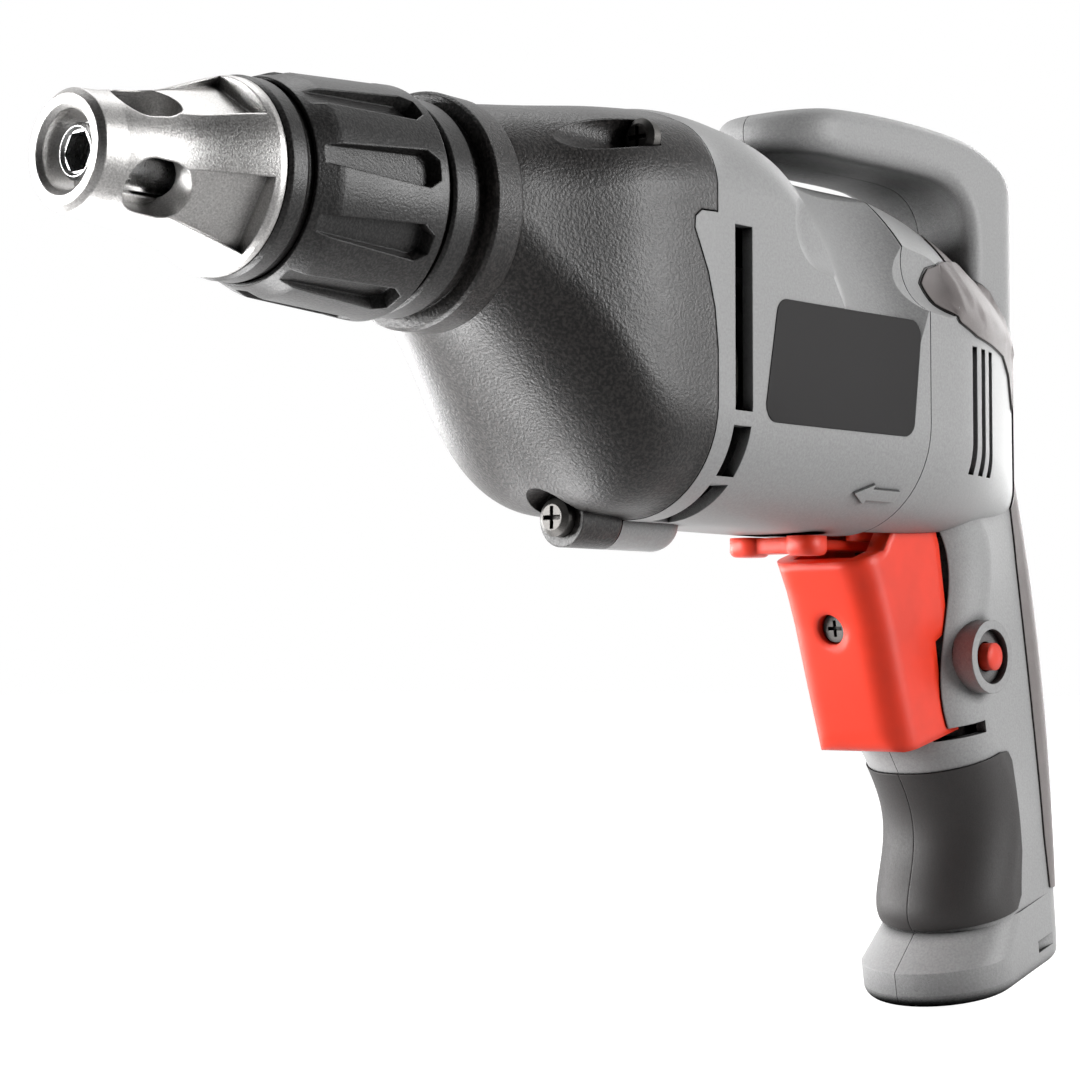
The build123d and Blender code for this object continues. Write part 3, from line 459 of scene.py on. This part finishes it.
def thumb_pad():
    """The rubber pad at the end of the groove, painted lighter as painted light, over a black line that
    shows round it as painted shade in the seam.
    """
    skin = skin_of("handle_left", "rear_grip_left", "motor_housing")

    def laid(rise):
        def place(x, z, raised):
            hit, lean = from_left(skin, x, z)
            return hit + lean * (rise if raised else -PAD_ROOT) * MM
        return place

    middle = Vector(PAD_MIDDLE)
    grown = [tuple(middle + (Vector(point) - middle) * PAD_LINE) for point in PAD]
    # A black line round the pad, as painted shade in the seam
    laid_piece("thumb_pad_seam_shade", grown, laid(PAD_LINE_RISE), "black_plastic")
    laid_piece("thumb_pad", PAD, laid(PAD_RISE), "painted_lit_rubber")


def pressed_spring():
    """A copy of the clutch spring's coil, set on the housing as a piece of its own in place of the node."""
    mesh = NODES["clutch_spring"].data.copy()
    piece = add_piece("clutch_coil", mesh, replaced="clutch_spring")
    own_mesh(piece)


def area_light(name, at, aim, size, power, spread):
    lamp = bpy.data.lights.new(name, "AREA")
    lamp.shape = "RECTANGLE"
    lamp.size, lamp.size_y = size
    lamp.energy = power
    lamp.spread = spread
    holder = bpy.data.objects.new(name, lamp)
    bpy.context.scene.collection.objects.link(holder)
    holder.location = at
    holder.rotation_euler = (Vector(aim) - Vector(at)).to_track_quat("-Z", "Y").to_euler()
    holder.visible_camera = False


class Ground:
    """What rays of each kind meet in the world or the floor: white, or its mirrored picture."""

    def __init__(self, tree):
        self.tree = tree
        self.path = tree.nodes.new("ShaderNodeLightPath")
        self.camera = self.path.outputs["Is Camera Ray"]
        self.mirrored = self.math("MAXIMUM", self.path.outputs["Is Glossy Ray"],
                                  self.path.outputs["Is Transmission Ray"])

    def math(self, operation, one, other):
        made = self.tree.nodes.new("ShaderNodeMath")
        made.operation = operation
        self.tree.links.new(one, made.inputs[0])
        self.tree.links.new(other, made.inputs[1])
        return made.outputs[0]

    def away(self, place, edge, low, high):
        """Rises from low to high along the camera's direction."""
        facing = self.tree.nodes.new("ShaderNodeVectorMath")
        facing.operation = "DOT_PRODUCT"
        facing.inputs[1].default_value = CAMERA_FORWARD
        self.tree.links.new(place, facing.inputs[0])
        rise = self.tree.nodes.new("ShaderNodeMapRange")
        rise.interpolation_type = "SMOOTHSTEP"
        rise.inputs["From Min"].default_value = edge[0]
        rise.inputs["From Max"].default_value = edge[1]
        rise.inputs["To Min"].default_value = low
        rise.inputs["To Max"].default_value = high
        self.tree.links.new(facing.outputs["Value"], rise.inputs["Value"])
        return rise.outputs["Result"]


def background(tree, strength):
    made = tree.nodes.new("ShaderNodeBackground")
    made.inputs["Color"].default_value = WHITE
    made.inputs["Strength"].default_value = strength
    return made


def make_world():
    """White to the camera; mirrored rays see it behind the part, with a dim room behind the camera."""
    world = bpy.data.worlds.new("studio")
    bpy.context.scene.world = world
    world.use_nodes = True
    tree = world.node_tree
    ground = Ground(tree)
    light, picture, white = background(tree, AMBIENT), background(tree, 1.0), background(tree, 1.0)
    place = tree.nodes.new("ShaderNodeTexCoord").outputs["Generated"]
    tree.links.new(ground.away(place, ROOM_EDGE, ROOM_DIM, 1.0), picture.inputs["Strength"])
    shown = light
    for kind, other in ((ground.mirrored, picture), (ground.camera, white)):
        mix = tree.nodes.new("ShaderNodeMixShader")
        tree.links.new(kind, mix.inputs["Fac"])
        tree.links.new(shown.outputs[0], mix.inputs[1])
        tree.links.new(other.outputs[0], mix.inputs[2])
        shown = mix
    tree.links.new(shown.outputs[0], tree.nodes["World Output"].inputs["Surface"])


def make_floor():
    """A pale floor under the foot, white to the camera."""
    level = CAD_BOX[0].z - FLOOR_GAP
    mesh = bpy.data.meshes.new("floor")
    corners = [(x * FLOOR_HALF, y * FLOOR_HALF, level) for x, y in ((-1, -1), (1, -1), (1, 1), (-1, 1))]
    mesh.from_pydata(corners, [], [(0, 1, 2, 3)])
    floor = bpy.data.objects.new("floor", mesh)
    bpy.context.scene.collection.objects.link(floor)
    s = Shader("pale_floor")
    s.colour(s.noise(FLOOR_MOTTLE), *FLOOR_SHADES)
    s.bsdf.inputs["Roughness"].default_value = FLOOR_ROUGH
    s.bsdf.inputs["Specular IOR Level"].default_value = 0.0
    s.bsdf.inputs["Emission Color"].default_value = WHITE
    ground = Ground(s.tree)
    picture = ground.math("MULTIPLY", ground.mirrored, ground.away(s.place, FLOOR_EDGE, ROOM_DIM, 1.0))
    lift = s.node("ShaderNodeMath", operation="MULTIPLY")
    lift.inputs[1].default_value = FLOOR_LIFT
    s.link(ground.math("MAXIMUM", ground.camera, picture), lift.inputs[0])
    s.link(lift.outputs[0], s.bsdf.inputs["Emission Strength"])
    mesh.materials.append(s.done())


def make_camera():
    data = bpy.data.cameras.new("camera")
    data.lens = CAMERA_LENS
    data.sensor_width = SENSOR
    data.clip_start, data.clip_end = CAMERA_CLIP
    camera = bpy.data.objects.new("camera", data)
    bpy.context.scene.collection.objects.link(camera)
    camera.location = CAMERA_AT
    camera.rotation_euler = CAMERA_FORWARD.to_track_quat("-Z", "Y").to_euler()
    bpy.context.scene.camera = camera


dress_nodes()
direction_arrow()
full_plate()
thumb_pad()
pressed_spring()
make_world()
make_floor()
make_camera()
for lamp_name, settings in LAMPS.items():
    area_light(lamp_name, *settings)
bpy.context.scene.view_settings.view_transform = "Standard"
